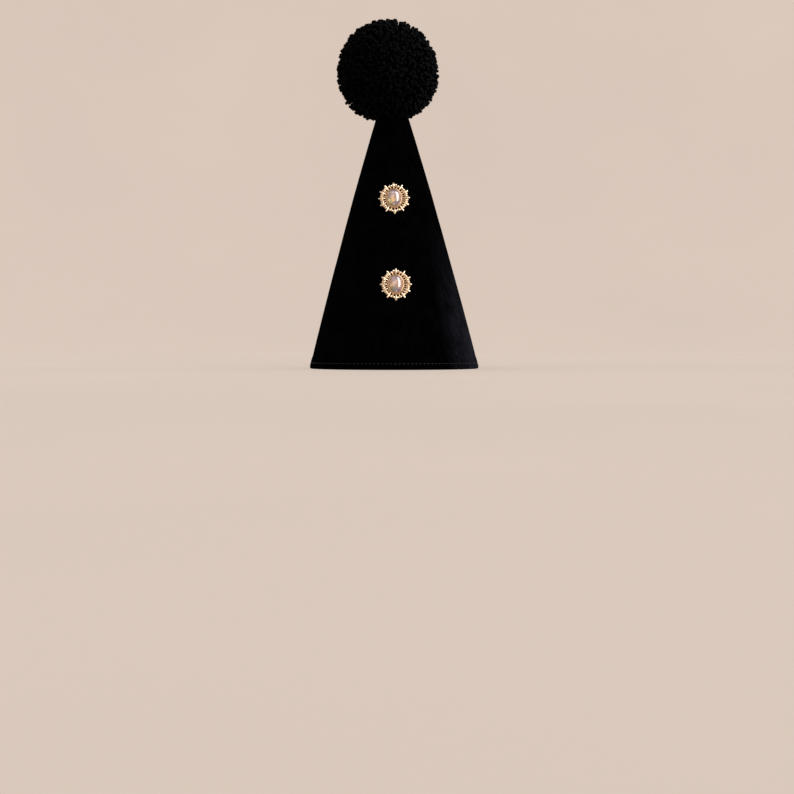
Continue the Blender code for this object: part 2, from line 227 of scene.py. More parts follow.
BEAD_RADIUS = 0.88 * MM
BEAD_LEVEL = 1.9 * MM
BEAD_DRIFT = 0.02  # how far beads stray along the ring, as a share of their bay
BEAD_STRAY = (-0.03, 0.05)  # and outward, as a share of the ring's size
BEAD_LIFT = (-0.1 * MM, 0.15 * MM)
BEAD_SCALE = (0.92, 1.08)
SCALLOP_RADIUS = 0.84 * MM
SCALLOP_PLACE = GALLERY_RADIUS - 0.6 * MM
SCALLOP_LEVEL = GALLERY_LEVEL - 0.1 * MM
SPIKE_REACH = (13.9 * MM, 14.7 * MM)
SPIKE_BEARINGS = (0.0, 33.0, 62.0, 90.0)  # degrees from the top and from the bottom, on both sides
STEM_LENGTH = 1.2 * MM
STEM_HALF_WIDTH = 0.55 * MM
STEM_SWELL = {"before_rim": 1.6 * MM, "half": 0.7 * MM}
STEM_LIFT = 0.3 * MM
SPIKE_LIFT = 0.15 * MM
ROD_FLATNESS = 0.85
LEAF_FLATNESS = 0.72
ROD_SPIKE = (  # along the part that stands past the gallery
    {"along": -0.25, "half": 0.8 * MM},
    {"along": 0.3, "half": 0.78 * MM},
    {"along": 0.6, "half": 0.76 * MM},
    {"along": 0.8, "half": 0.7 * MM},
    {"along": 0.93, "half": 0.52 * MM},
    {"along": 1.0, "half": 0.24 * MM},
)
LEAF_SPIKE = (
    {"along": -0.6, "half": 1.3 * MM},
    {"along": -0.2, "half": 1.7 * MM},
    {"along": 0.15, "half": 1.5 * MM},
    {"along": 0.5, "half": 1.0 * MM},
    {"along": 0.82, "half": 0.6 * MM},
    {"along": 1.0, "half": 0.2 * MM},
)
POST_RADIUS = 0.8 * MM
POST_LENGTH = 4.2 * MM
CABOCHON_GIRDLE = 1.6 * MM
CABOCHON_DOME = 3.1 * MM
CABOCHON_CHAMFER = 0.15 * MM
CABOCHON_ROUNDS = 20

# How bright each form of the metal is painted, as painted light and shade: spikes and beads lightest as
# painted highlights, plate and struts darker as painted shade, before the painted shade low down
PAINTED_METAL_LIGHT = {"bezel": 0.62, "plate": 0.46, "rim_wire": 0.45, "fine_wire": 0.5,
         "spike": 0.72, "strut": 0.45, "post": 0.5}
# Random painted glints on each bead, and random painted light on each scallop
BEAD_PAINTED_GLINT = (0.8, 1.0)
SCALLOP_PAINTED_LIGHT = (0.5, 0.8)
# Painted shade low down, towards the recesses: where it starts, how far down it grows to full, and how much
# it darkens
PAINTED_SHADE_TOP = GALLERY_LEVEL + 0.2 * MM
PAINTED_SHADE_DEPTH = 0.9 * MM
PAINTED_SHADE_STRENGTH = 0.4

# The stage
FLOOR_RADIUS = 1.8
WALL_RADIUS = 3.2
WALL_HEIGHT = 3.4
STAGE_COLUMNS = 96
STAGE_BEND_STEPS = 16

# The lamps: degrees to the right of the front, degrees up, and the pieces that each falls on, if not all
YARN_PIECES = ("yarn_low", "yarn_middle", "yarn_top", "yarn_fibres")
VELVET_PIECES = ("velvet_cone", "rim_band")
LAMP_DISTANCE = 2.0
HAT_MIDDLE = Vector((0, 0, 0.15))
SOFTBOXES = (
    {"name": "window_key", "azimuth": 42, "elevation": 34, "roll": -12, "size": (0.9, 3.0),
     "watts": 54, "colour": (1.0, 0.98, 0.96), "falls_on": None},
    {"name": "right_back", "azimuth": 120, "elevation": 20, "roll": 0, "size": (1.2, 1.6),
     "watts": 1.6, "colour": (0.88, 0.92, 1.0), "falls_on": None},
    {"name": "left_back", "azimuth": -112, "elevation": 15, "roll": 0, "size": (1.2, 1.6),
     "watts": 26, "colour": (1.0, 0.95, 0.92), "falls_on": VELVET_PIECES},
    {"name": "yarn_side", "azimuth": 80, "elevation": 32, "roll": 0, "size": (1.0, 1.0),
     "watts": 75, "colour": (0.9, 0.93, 1.0), "falls_on": YARN_PIECES},
)
RAKE = {"name": "rake", "azimuth": 128, "elevation": 3, "roll": 0, "watts": 3900, "colour": (0.92, 0.92, 1.0)}
RAKE_TARGET = Vector((0.066, 0, 0.005))
RAKE_ANGLE = 5.8
RAKE_SOFTNESS = 0.05
WORLD_STRENGTH = 0.6

# The camera
PICTURE_SIDE = 794  # pixels, width and height of the picture that the camera frames
LENS_PIXELS = 1800.0
SENSOR_WIDTH = 36.0
CAMERA_DISTANCE = 1.62
CAMERA_HEIGHT = 0.030
CAMERA_SIDE = 0.0025
CAMERA_PITCH = 1.97  # degrees below level


# Shader helpers


def new_material(name):
    material = bpy.data.materials.new(name)
    material.use_nodes = True
    nodes = material.node_tree.nodes
    links = material.node_tree.links
    return material, nodes, links, nodes["Principled BSDF"]


def set_sockets(node, values):
    for name, value in values.items():
        node.inputs[name].default_value = value


def add_noise(nodes, links, vector, scale, detail=4.0, roughness=0.6):
    texture = nodes.new("ShaderNodeTexNoise")
    set_sockets(texture, {"Scale": scale, "Detail": detail, "Roughness": roughness})
    links.new(vector, texture.inputs["Vector"])
    return texture.outputs["Fac"]


def add_ramp(nodes, links, factor, places, tones):
    """Runs through the tones as the factor passes their places."""
    ramp = nodes.new("ShaderNodeValToRGB")
    elements = ramp.color_ramp.elements
    while len(elements) < len(tones):
        elements.new(1.0)
    for element, place, tone in zip(elements, places, tones):
        element.position = place
        element.color = (*tone, 1.0)
    links.new(factor, ramp.inputs["Fac"])
    return ramp.outputs["Color"]


def add_bump(nodes, links, height, strength, distance, below=None):
    bump = nodes.new("ShaderNodeBump")
    set_sockets(bump, {"Strength": strength, "Distance": distance})
    links.new(height, bump.inputs["Height"])
    if below is not None:
        links.new(below, bump.inputs["Normal"])
    return bump.outputs["Normal"]


def add_weighted(nodes, links, value, weight, other):
    """value times weight, plus other."""
    mixed = nodes.new("ShaderNodeMath")
    mixed.operation = "MULTIPLY_ADD"
    mixed.inputs[1].default_value = weight
    links.new(value, mixed.inputs[0])
    links.new(other, mixed.inputs[2])
    return mixed.outputs[0]


def add_vector_math(nodes, links, operation, vector, constant=(0.0, 0.0, 0.0)):
    node = nodes.new("ShaderNodeVectorMath")
    node.operation = operation
    node.inputs[1].default_value = constant
    links.new(vector, node.inputs[0])
    return node


def object_coordinates(nodes):
    return nodes.new("ShaderNodeTexCoord").outputs["Object"]


def velvet_material(name):
    """Black pile: no gloss, a faint cool sheen at grazing angles, a mottled nap and fine upright streaks."""
    material, nodes, links, shader = new_material(name)
    place = object_coordinates(nodes)
    stretch = nodes.new("ShaderNodeMapping")
    stretch.inputs["Scale"].default_value = (1.0, 1.0, 0.16)
    links.new(place, stretch.inputs["Vector"])
    mottle = add_noise(nodes, links, place, scale=70.0, detail=5.0, roughness=0.7)
    streaks = add_noise(nodes, links, stretch.outputs["Vector"], scale=420.0, detail=3.0, roughness=0.65)
    mixed = add_weighted(nodes, links, streaks, 0.6, mottle)
    links.new(add_ramp(nodes, links, mixed, (0.62, 0.98), VELVET_TONES), shader.inputs["Base Color"])
    pile = add_noise(nodes, links, place, scale=2600.0, detail=2.0, roughness=0.7)
    nap = add_noise(nodes, links, place, scale=300.0, detail=3.0)
    coarse = add_bump(nodes, links, nap, strength=0.9, distance=0.9 * MM)
    grooved = add_bump(nodes, links, streaks, strength=0.35, distance=0.3 * MM, below=coarse)
    fine = add_bump(nodes, links, pile, strength=0.5, distance=0.2 * MM, below=grooved)
    links.new(fine, shader.inputs["Normal"])
    set_sockets(shader, {
        "Roughness": 0.9,
        "Specular IOR Level": 0.0,
        "Sheen Weight": VELVET_SHEEN,
        "Sheen Roughness": 0.5,
        "Sheen Tint": (0.74, 0.76, 0.9, 1.0),
    })
    return material


def yarn_material(name, tones):
    """Black wool: matt, with fine fibres all over each ply."""
    material, nodes, links, shader = new_material(name)
    place = object_coordinates(nodes)
    cloud = add_noise(nodes, links, place, scale=240.0, detail=3.0)
    links.new(add_ramp(nodes, links, cloud, (0.3, 0.75), tones), shader.inputs["Base Color"])
    fibre = add_noise(nodes, links, place, scale=4200.0, detail=2.0)
    links.new(add_bump(nodes, links, fibre, strength=0.6, distance=0.15 * MM), shader.inputs["Normal"])
    set_sockets(shader, {
        "Roughness": 0.6,
        "Specular IOR Level": 0.018,
        "Sheen Weight": 0.02,
        "Sheen Roughness": 0.4,
        "Sheen Tint": (0.7, 0.72, 0.9, 1.0),
    })
    return material


def thread_material(name):
    """The black topstitching thread, a little glossier than the cloth round it."""
    material, nodes, links, shader = new_material(name)
    strand = add_noise(nodes, links, object_coordinates(nodes), scale=3000.0, detail=2.0, roughness=0.5)
    links.new(add_ramp(nodes, links, strand, (0.3, 0.7), THREAD_TONES), shader.inputs["Base Color"])
    links.new(add_bump(nodes, links, strand, strength=0.5, distance=0.1 * MM), shader.inputs["Normal"])
    set_sockets(shader, {"Roughness": 0.42, "Specular IOR Level": 0.26})
    return material


def gold_material(name, tones):
    """Gold plate that runs from painted recess shade to a painted bright edge highlight, as the mesh's relief
    attribute marks.
    """
    material, nodes, links, shader = new_material(name)
    place = object_coordinates(nodes)
    relief = nodes.new("ShaderNodeAttribute")
    relief.attribute_name = "relief"
    cloud = add_noise(nodes, links, place, scale=900.0, detail=3.0)
    mixed = add_weighted(nodes, links, cloud, 0.3, relief.outputs["Fac"])
    plate = add_ramp(nodes, links, mixed, (0.18, 0.42, 0.75, 1.0), tones)
    links.new(plate, shader.inputs["Base Color"])
    grain = add_noise(nodes, links, place, scale=1800.0, detail=3.0, roughness=0.5)
    links.new(add_bump(nodes, links, grain, strength=0.12, distance=0.1 * MM), shader.inputs["Normal"])
    rough = nodes.new("ShaderNodeMapRange")
    set_sockets(rough, {"To Min": 0.16, "To Max": 0.34})
    links.new(cloud, rough.inputs["Value"])
    links.new(rough.outputs["Result"], shader.inputs["Roughness"])
    shader.inputs["Metallic"].default_value = 1.0
    return material


def add_patch(nodes, links, strayed, colour, patch):
    """Lays one soft oval patch over the stone's colour so far."""
    across, along = patch["place"]
    wide, tall = patch["half"]
    middle = (across + PATCH_STRAY / 2, along + PATCH_STRAY / 2, 0.0)  # noise strays by half on average
    away = add_vector_math(nodes, links, "SUBTRACT", strayed, middle)
    stretch = add_vector_math(nodes, links, "MULTIPLY", away.outputs["Vector"], (1 / wide, 1 / tall, 0.0))
    length = add_vector_math(nodes, links, "LENGTH", stretch.outputs["Vector"])
    fade = nodes.new("ShaderNodeMapRange")
    fade.interpolation_type = "SMOOTHSTEP"
    set_sockets(fade, {"From Min": 1.0, "From Max": 0.15, "To Max": patch["strength"]})
    links.new(length.outputs["Value"], fade.inputs["Value"])
    mix = nodes.new("ShaderNodeMix")
    mix.data_type = "RGBA"
    if colour is None:
        mix.inputs["A"].default_value = (*OPAL_GROUND, 1.0)
    else:
        links.new(colour, mix.inputs["A"])
    mix.inputs["B"].default_value = (*patch["colour"], 1.0)
    links.new(fade.outputs["Result"], mix.inputs["Factor"])
    return mix.outputs["Result"]


def opal_material(name, row):
    """A milky stone with soft patches of colour under a clear polish."""
    material, nodes, links, shader = new_material(name)
    local = nodes.new("ShaderNodeAttribute")
    local.attribute_name = "stone_place"
    wander = nodes.new("ShaderNodeTexNoise")
    wander.noise_dimensions = "4D"
    set_sockets(wander, {"Scale": 2.4, "Detail": 3.0, "W": row["seed"]})
    links.new(local.outputs["Vector"], wander.inputs["Vector"])
    constant = (PATCH_STRAY, PATCH_STRAY, 0.0)
    stray = add_vector_math(nodes, links, "MULTIPLY_ADD", wander.outputs["Color"], constant)
    links.new(local.outputs["Vector"], stray.inputs[2])
    strayed = stray.outputs["Vector"]
    colour = None
    for patch in row["patches"]:
        colour = add_patch(nodes, links, strayed, colour, patch)
    veins = add_noise(nodes, links, strayed, scale=4.5, detail=3.0, roughness=0.65)
    shades = add_ramp(nodes, links, veins, (0.36, 0.56), ((0.42, 0.40, 0.42), (1.0, 1.0, 1.0)))
    veined = nodes.new("ShaderNodeMix")
    veined.data_type = "RGBA"
    veined.blend_type = "MULTIPLY"
    veined.inputs["Factor"].default_value = 0.75
    links.new(colour, veined.inputs["A"])
    links.new(shades, veined.inputs["B"])
    links.new(veined.outputs["Result"], shader.inputs["Base Color"])
    flecks = add_noise(nodes, links, local.outputs["Vector"], scale=9.0, detail=3.0)
    links.new(add_bump(nodes, links, flecks, strength=0.03, distance=0.1 * MM), shader.inputs["Normal"])
    set_sockets(shader, {
        "Roughness": 0.5,
        "Specular IOR Level": 0.0,
        "Coat Weight": 1.0,
        "Coat Roughness": 0.03,
        "Coat IOR": 2.1,
    })
    return material


def steel_material(name):
    material, nodes, links, shader = new_material(name)
    brushed = add_noise(nodes, links, object_coordinates(nodes), scale=2500.0, detail=3.0)
    links.new(add_ramp(nodes, links, brushed, (0.3, 0.7), STEEL_TONES), shader.inputs["Base Color"])
    links.new(add_bump(nodes, links, brushed, strength=0.2, distance=0.05 * MM), shader.inputs["Normal"])
    set_sockets(shader, {"Metallic": 1.0, "Roughness": 0.35})
    return material


# Mesh helpers


def add_piece(name, mesh, material, replaced=()):
    mesh.materials.append(material)
    mesh.shade_smooth()
    piece = bpy.data.objects.new(name, mesh)
    bpy.context.scene.collection.objects.link(piece)
    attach(piece, BODY)
    if replaced:
        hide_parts(*replaced)


def mesh_of(name, points, faces):
    mesh = bpy.data.meshes.new(name)
    mesh.from_pydata(points, [], faces)
    mesh.update()
    return mesh


def grid_faces(rows, columns, start=0):
    """Quads between rows of a ring of columns that closes on itself."""
    row = np.arange(rows - 1)[:, None] * columns + start
    column = np.arange(columns)[None, :]
    following = (column + 1) % columns
    corners = [row + column, row + following, row + columns + following, row + columns + column]
    return np.stack(corners, axis=-1).reshape(-1, 4)


class Builder:
    """Collects swept and round shapes into one mesh, in a brooch's own plane or in the frame."""

    def __init__(self):
        self.points = []
        self.faces = []
        self.tones = []

    def tone(self, value):
        """Marks all points added since the last call with how bright their metal is painted: painted light
        and shade.
        """
        self.tones += [value] * (len(self.points) - len(self.tones))

    def join(self, here, there, sides):
        """Quads between two rings of points, each given by its first point."""
        for k in range(sides):
            j = (k + 1) % sides
            self.faces.append((here + k, here + j, there + j, there + k))

    def cap(self, first, sides, under=False):
        """Closes a ring of points with one face, turned over on the shape's under side."""
        ring = range(first, first + sides)
        self.faces.append(tuple(reversed(ring) if under else ring))

    def sweep(self, path, radii, sides, closed=False, flat=1.0, up=Vector((0, 0, 1))):
        """A tube of given radii along a path. flat below 1 presses it towards the up direction's plane."""
        count = len(path)
        start = len(self.points)
        for i, middle in enumerate(path):
            before = path[i - 1] if closed or i else path[0]
            after = path[(i + 1) % count] if closed or i + 1 < count else path[-1]
            along = (after - before).normalized()
            side = along.cross(up).normalized()
            rise = side.cross(along)
            for k in range(sides):
                turn = math.tau * k / sides
                reach = side * math.cos(turn) + rise * (math.sin(turn) * flat)
                self.points.append(middle + reach * radii[i])
        last = count if closed else count - 1
        for i in range(last):
            self.join(start + i * sides, start + ((i + 1) % count) * sides, sides)
        if not closed:
            self.cap(start, sides, under=True)
            self.cap(start + last * sides, sides)

    def ball(self, middle, radius, sides=16, rings=9):
        """A round bead, closed at both poles."""
        start = len(self.points)
        for i in range(1, rings):
            level = math.pi * i / rings
            for k in range(sides):
                turn = math.tau * k / sides
                flat = math.sin(level) * radius
                offset = (flat * math.cos(turn), flat * math.sin(turn), radius * math.cos(level))
                self.points.append(middle + Vector(offset))
        top = len(self.points)
        self.points.append(middle + Vector((0, 0, radius)))
        self.points.append(middle - Vector((0, 0, radius)))
        for i in range(rings - 2):
            for k in range(sides):
                j = (k + 1) % sides
                here = start + i * sides
                self.faces.append((here + k, here + sides + k, here + sides + j, here + j))
        low = start + (rings - 2) * sides
        for k in range(sides):
            j = (k + 1) % sides
            self.faces.append((start + k, start + j, top))
            self.faces.append((low + j, low + k, top + 1))

    def ovals(self, steps, sides, capped=True):
        """A surface through ovals of ((half across, half along), height)."""
        start = len(self.points)
        for half, height in steps:
            for k in range(sides):
                self.points.append(oval_point(half, math.tau * k / sides, height))
        last = start + (len(steps) - 1) * sides
        for here in range(start, last, sides):
            self.join(here, here + sides, sides)
        if capped:
            self.cap(start, sides, under=True)
            self.cap(last, sides)

    def mesh(self, name, matrix=None):
        points = [matrix @ point for point in self.points] if matrix else self.points
        return mesh_of(name, [tuple(point) for point in points], self.faces)


# The cone


def side_radius(height):
    """The cone's own side carried straight on to the foot, without the upright stretch."""
    share = height / APEX_HEIGHT
    return RIM_RADIUS * (1 - share) + 4 * SIDE_BULGE * share * (1 - share)


def cone_radius(height):
    return np.minimum(side_radius(height), FOOT_RADIUS)


def cone_slope(height):
    return -RIM_RADIUS / APEX_HEIGHT + 4 * SIDE_BULGE * (1 - 2 * height / APEX_HEIGHT) / APEX_HEIGHT


def axis_x(height):
    return -TIP_LEAN * height / APEX_HEIGHT


def wall_run():
    """The wall's thickness measured level."""
    return WALL * math.hypot(1.0, RIM_RADIUS / APEX_HEIGHT)


def cone_point(radius, turn, height):
    return (axis_x(height) + radius * math.cos(turn), radius * math.sin(turn), height)


def cone_noise(turn, height, around, upward):
    """Noise on the cone, the finer the larger around and upward are."""
    return noise.noise(Vector((around * math.cos(turn), around * math.sin(turn), height * upward)))


def velvet_relief(turn, height, radius):
    """How far the cloth lies off the true cone: soft waves, and a sunk seam down the back."""
    wave = cone_noise(turn, height, around=2.2, upward=16)
    fine = cone_noise(turn, height, around=6, upward=55)
    off = (turn - SEAM_TURN + math.pi) % math.tau - math.pi
    across = off * radius / SEAM_HALF_WIDTH
    seam = math.exp(-across * across)
    shoulder = math.exp(-((abs(across) - SEAM_SHOULDER_PLACE) ** 2))
    return UNDULATION * (0.7 * wave + 0.3 * fine) - SEAM_DEPTH * seam + SEAM_SHOULDER * shoulder


def cone_cover():
    """The velvet: a fine outer side, the rolled foot, the plain inner side and the closed tip."""
    foot = shell_low.z
    turns = [math.tau * k / CONE_COLUMNS for k in range(CONE_COLUMNS)]
    points = []
    for i in range(CONE_ROWS):
        height = foot + (TIP_HEIGHT - foot) * i / (CONE_ROWS - 1)
        base = float(cone_radius(height))
        fade = min(1.0, (height - foot) / RELIEF_START)
        for turn in turns:
            points.append(cone_point(base + fade * velvet_relief(turn, height, base), turn, height))
    for i in range(CONE_INNER_ROWS):
        height = foot + (TIP_HEIGHT - WALL - foot) * i / (CONE_INNER_ROWS - 1)
        radius = float(cone_radius(height)) - wall_run()
        for turn in turns:
            points.append(cone_point(radius, turn, height))
    outside = grid_faces(CONE_ROWS, CONE_COLUMNS)
    inside_start = CONE_ROWS * CONE_COLUMNS
    inside = grid_faces(CONE_INNER_ROWS, CONE_COLUMNS, inside_start)[:, ::-1]
    faces = outside.tolist() + inside.tolist()
    for k in range(CONE_COLUMNS):
        j = (k + 1) % CONE_COLUMNS
        faces.append([j, k, inside_start + k, inside_start + j])
    top = (CONE_ROWS - 1) * CONE_COLUMNS
    inner_ring = inside_start + (CONE_INNER_ROWS - 1) * CONE_COLUMNS
    faces.append([top + k for k in range(CONE_COLUMNS)])
    faces.append([inner_ring + k for k in reversed(range(CONE_COLUMNS))])
    return mesh_of("velvet_cone", points, faces)


# The rim binding


def hem_proud(height):
    """How far the hem's outside stands off the cone's side: next to nothing at its upper edge."""
    return HEM_PROUD * min(1.0, HEM_EDGE_PROUD + (BAND_HEIGHT - height) / HEM_RISE)


def band_outline():
    """The turned hem's section as (radius, height) points, from its inner top down, round the rolled
    lower edge and up the outside, where it lies nearly flush, then back inside against the cone."""
    inner = FOOT_RADIUS - wall_run() - GAP - BAND_THICKNESS
    points = [
        (inner + BAND_THICKNESS * 0.9, BAND_INNER_HEIGHT - 0.1 * MM),
        (inner + BAND_THICKNESS * 0.5, BAND_INNER_HEIGHT),
        (inner + BAND_THICKNESS * 0.1, BAND_INNER_HEIGHT - 0.2 * MM),
        (inner, BAND_INNER_HEIGHT * 0.6),
        (inner, HEM_ROUNDING * 1.6),
    ]
    for middle, first_turn, steps in ((inner + HEM_ROUNDING, 180, 4), (BAND_RADIUS - HEM_ROUNDING, 270, 5)):
        for i in range(steps + 1):
            turn = math.radians(first_turn + 90 * i / steps)
            radius = middle + HEM_ROUNDING * math.cos(turn)
            points.append((radius, HEM_ROUNDING + HEM_ROUNDING * math.sin(turn)))
    side_length = BAND_HEIGHT - 0.15 * MM - HEM_SIDE_START
    for i in range(HEM_SIDE_STEPS + 1):
        height = HEM_SIDE_START + side_length * i / HEM_SIDE_STEPS
        points.append((side_radius(height) + hem_proud(height), height))
    near = GAP * 0.3  # how close the hidden side lies to the cone
    points.append((side_radius(BAND_HEIGHT), BAND_HEIGHT))
    points.append((FOOT_RADIUS + near, BAND_HEIGHT - 0.2 * MM))
    points.append((FOOT_RADIUS + near, BAND_HEIGHT - 1.0 * MM))
    points.append((FOOT_RADIUS + near, BAND_THICKNESS + near))
    points.append((FOOT_RADIUS - wall_run() - GAP * 0.5, BAND_THICKNESS + near))
    return points


def stitch_pull(turn, height):
    """How far the topstitching draws the band in: a groove along its row, deepest at each needle hole."""
    beside = (height - STITCH_HEIGHT) / GROOVE_WIDTH
    groove = math.exp(-beside * beside)
    phase = turn * STITCHES / math.tau
    hole = math.cos(math.tau * phase) * 0.5 + 0.5
    return groove * (GROOVE_DEPTH + NEEDLE_HOLE_DEPTH * hole)


def band_cover():
    points = []
    outline = band_outline()
    for radius, height in outline:
        outside = HEM_SMOOTH_BELOW < height < BAND_HEIGHT and radius > side_radius(height)
        for k in range(BAND_COLUMNS):
            turn = math.tau * k / BAND_COLUMNS
            reach = radius
            if outside:
                wobble = cone_noise(turn, height, around=9, upward=90)
                reach += HEM_WAVE * wobble - stitch_pull(turn, height)
            points.append(cone_point(reach, turn, height))
    rows = len(outline)
    faces = grid_faces(rows, BAND_COLUMNS).tolist()
    last = (rows - 1) * BAND_COLUMNS
    for k in range(BAND_COLUMNS):
        j = (k + 1) % BAND_COLUMNS
        faces.append([last + k, last + j, j, k])
    return mesh_of("rim_band", points, faces)


def stitch_row():
    """Each stitch is a short bowed thread whose ends dive into the cloth."""
    builder = Builder()
    radius = side_radius(STITCH_HEIGHT) + hem_proud(STITCH_HEIGHT) - STITCH_SINK
    half = STITCH_LENGTH / 2 / radius
    for index in range(STITCHES):
        middle = math.tau * index / STITCHES + math.pi / STITCHES
        path = []
        radii = []
        for i in range(STITCH_RINGS):
            along = 2 * i / (STITCH_RINGS - 1) - 1
            reach = radius + (1 - along * along) * STITCH_BOW
            height = STITCH_HEIGHT + STITCH_SLANT * along
            path.append(Vector(cone_point(reach, middle + half * along, height)))
            radii.append(STITCH_RADIUS * (1 - 0.45 * along**4))
        builder.sweep(path, radii, 8)
    return builder.mesh("topstitching")


# The pompom


def even_directions(count):
    """Directions spread evenly over a ball, along a golden-angle spiral, as rows of an array."""
    index = np.arange(count)
    level = 1 - (2 * index + 1) / count
    reach = np.sqrt(1 - level * level)
    turn = math.pi * (3 - math.sqrt(5)) * index
    return np.stack([reach * np.cos(turn), reach * np.sin(turn), level], axis=1)


def unit(vectors):
    return vectors / np.linalg.norm(vectors, axis=-1, keepdims=True)


def pushed_off_cone(points, clearance):
    """Moves points that lie in the cone out to its side, level with where they were."""
    height = np.clip(points[..., 2], 0, TIP_HEIGHT)
    middle = axis_x(height)
    across = points[..., 0] - middle
    along = points[..., 1]
    beside = np.hypot(across, along)
    wanted = np.where(points[..., 2] < TIP_HEIGHT, cone_radius(height) + clearance, 0.0)
    push = np.maximum(1.0, wanted / np.maximum(beside, 1e-6))
    moved = points.copy()
    moved[..., 0] = middle + across * push
    moved[..., 1] = along * push
    return moved


def yarn_paths(draw):
    """The middle line of each yarn end, from deep in the ball to its cut tip."""
    directions = unit(even_directions(YARN_ENDS) + draw.normal(0, YARN_SCATTER, (YARN_ENDS, 3)))
    centre = np.array(POMPOM_CENTRE)
    level = directions[:, 2]
    sag = YARN_SAG * 2 * np.maximum(0, -level) * np.sqrt(1 - level * level)
    tip_length = (draw.uniform(*YARN_TIP_RANGE, YARN_ENDS) + sag)[:, None]
    roots = centre + directions * YARN_ROOT_RADIUS
    tips = centre + unit(directions + draw.normal(0, YARN_LEAN, directions.shape)) * tip_length
    bends = (roots + tips) / 2 + draw.normal(0, YARN_BEND, directions.shape)
    share = np.array(YARN_RINGS)[None, :, None]
    roots, bends, tips = roots[:, None], bends[:, None], tips[:, None]
    paths = roots * (1 - share) ** 2 + bends * 2 * share * (1 - share) + tips * share**2
    height = tips[:, 0, 2]
    beside = np.hypot(tips[:, 0, 0] - axis_x(height), tips[:, 0, 1])
    side = cone_radius(np.clip(height, 0, TIP_HEIGHT)) - YARN_CLEARANCE
    outside = (height > TIP_HEIGHT) | (beside > side)
    return pushed_off_cone(paths[outside], PLY_OFFSET + PLY_RADIUS)


def yarn_mesh(name, paths, draw):
    """Three plies twisted round each path, which close to a rounded nub at its end."""
    strands, rings, _ = paths.shape
    along = unit(np.gradient(paths, axis=1))
    guide = unit(draw.normal(0, 1, (strands, 1, 3)))
    side = unit(np.cross(along, guide))
    rise = np.cross(side, along)
    length = np.linalg.norm(np.diff(paths, axis=1), axis=-1)
    travelled = np.concatenate([np.zeros((strands, 1)), np.cumsum(length, axis=1)], axis=1)
    phase = draw.uniform(0, math.tau, (strands, 1))
    ply = np.arange(YARN_PLIES) * math.tau / YARN_PLIES
    spin = (travelled / YARN_PITCH * math.tau + phase)[:, None, :] + ply[None, :, None]
    offset = PLY_OFFSET * np.array(YARN_SPREAD)[None, None, :, None]
    twist = np.cos(spin)[..., None] * side[:, None] + np.sin(spin)[..., None] * rise[:, None]
    middles = paths[:, None] + offset * twist
    girth = PLY_RADIUS * np.array(YARN_GIRTH)[None, None, :, None, None]
    girth = girth * draw.uniform(*PLY_GIRTH_RANGE, (strands, YARN_PLIES, 1, 1, 1))
    round_turn = np.arange(YARN_SIDES) * math.tau / YARN_SIDES
    circle = (
        np.cos(round_turn)[:, None] * side[:, None, :, None, :]
        + np.sin(round_turn)[:, None] * rise[:, None, :, None, :]
    )
    points = (middles[..., None, :] + girth * circle).reshape(-1, 3)
    step = rings * YARN_SIDES
    starts = np.arange(strands * YARN_PLIES) * step
    quads = (grid_faces(rings, YARN_SIDES)[None] + starts[:, None, None]).reshape(-1, 4)
    root_caps = starts[:, None] + np.arange(YARN_SIDES)[::-1]
    tip_caps = starts[:, None] + (rings - 1) * YARN_SIDES + np.arange(YARN_SIDES)
    faces = quads.tolist() + root_caps.tolist() + tip_caps.tolist()
    return mesh_of(name, points.tolist(), faces)


def fibre_mesh(name, paths, draw):
    """Loose fibres at each cut end: thin slivers that fan out."""
    ends = np.repeat(paths[:, -1], FIBRES_PER_END, axis=0)
    along = np.repeat(unit(paths[:, -1] - paths[:, -2]), FIBRES_PER_END, axis=0)
    count = len(ends)
    spread = unit(along + draw.normal(0, FIBRE_FAN, (count, 3)))
    start = ends - along * FIBRE_SET_BACK + draw.normal(0, FIBRE_STRAY, (count, 3))
    length = draw.uniform(*FIBRE_LENGTH_RANGE, (count, 1))
    side = unit(np.cross(spread, draw.normal(0, 1, (count, 3))))
    rise = np.cross(side, spread)
    corners = [
        start + side * FIBRE_RADIUS,
        start - side * 0.5 * FIBRE_RADIUS + rise * 0.87 * FIBRE_RADIUS,
        start - side * 0.5 * FIBRE_RADIUS - rise * 0.87 * FIBRE_RADIUS,
        start + spread * length,
    ]
    points = np.stack(corners, axis=1).reshape(-1, 3)
    base = (np.arange(count) * 4)[:, None, None]
    sliver = np.array([[0, 1, 3], [1, 2, 3], [2, 0, 3], [2, 1, 0]])
    return mesh_of(name, points.tolist(), (base + sliver[None]).reshape(-1, 3).tolist())


def pompom_core(name):
    """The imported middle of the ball, lumpy with yarn, with a hollow for the cone's tip."""
    shape = bmesh.new()
    bmesh.ops.create_icosphere(shape, subdivisions=5, radius=1.0)
    for vertex in shape.verts:
        lumps = sum(noise.noise(vertex.co * lump["scale"]) * lump["height"] for lump in CORE_LUMPS)
        vertex.co = POMPOM_CENTRE + vertex.co.normalized() * (CORE_RADIUS + lumps)
    moved = pushed_off_cone(np.array([vertex.co for vertex in shape.verts]), GAP)
    for vertex, place in zip(shape.verts, moved):
        vertex.co = place
    mesh = bpy.data.meshes.new(name)
    shape.to_mesh(mesh)
    shape.free()
    return mesh


def build_pompom():
    yarn = yarn_material("black_yarn", YARN_TONES)
    core = yarn_material("yarn_shadow", CORE_TONES)
    draw = np.random.default_rng(POMPOM_SEED)
    paths = yarn_paths(draw)
    order = np.argsort(paths[:, -1, 2], kind="stable")
    zones = np.array_split(order, 3)
    for label, zone in zip(("low", "middle", "top"), zones):
        add_piece(f"yarn_{label}", yarn_mesh(f"yarn_{label}", paths[zone], draw), yarn)
    add_piece("yarn_fibres", fibre_mesh("yarn_fibres", paths, draw), yarn)
    add_piece("pompom_core", pompom_core("pompom_core"), core, ["pompom"])


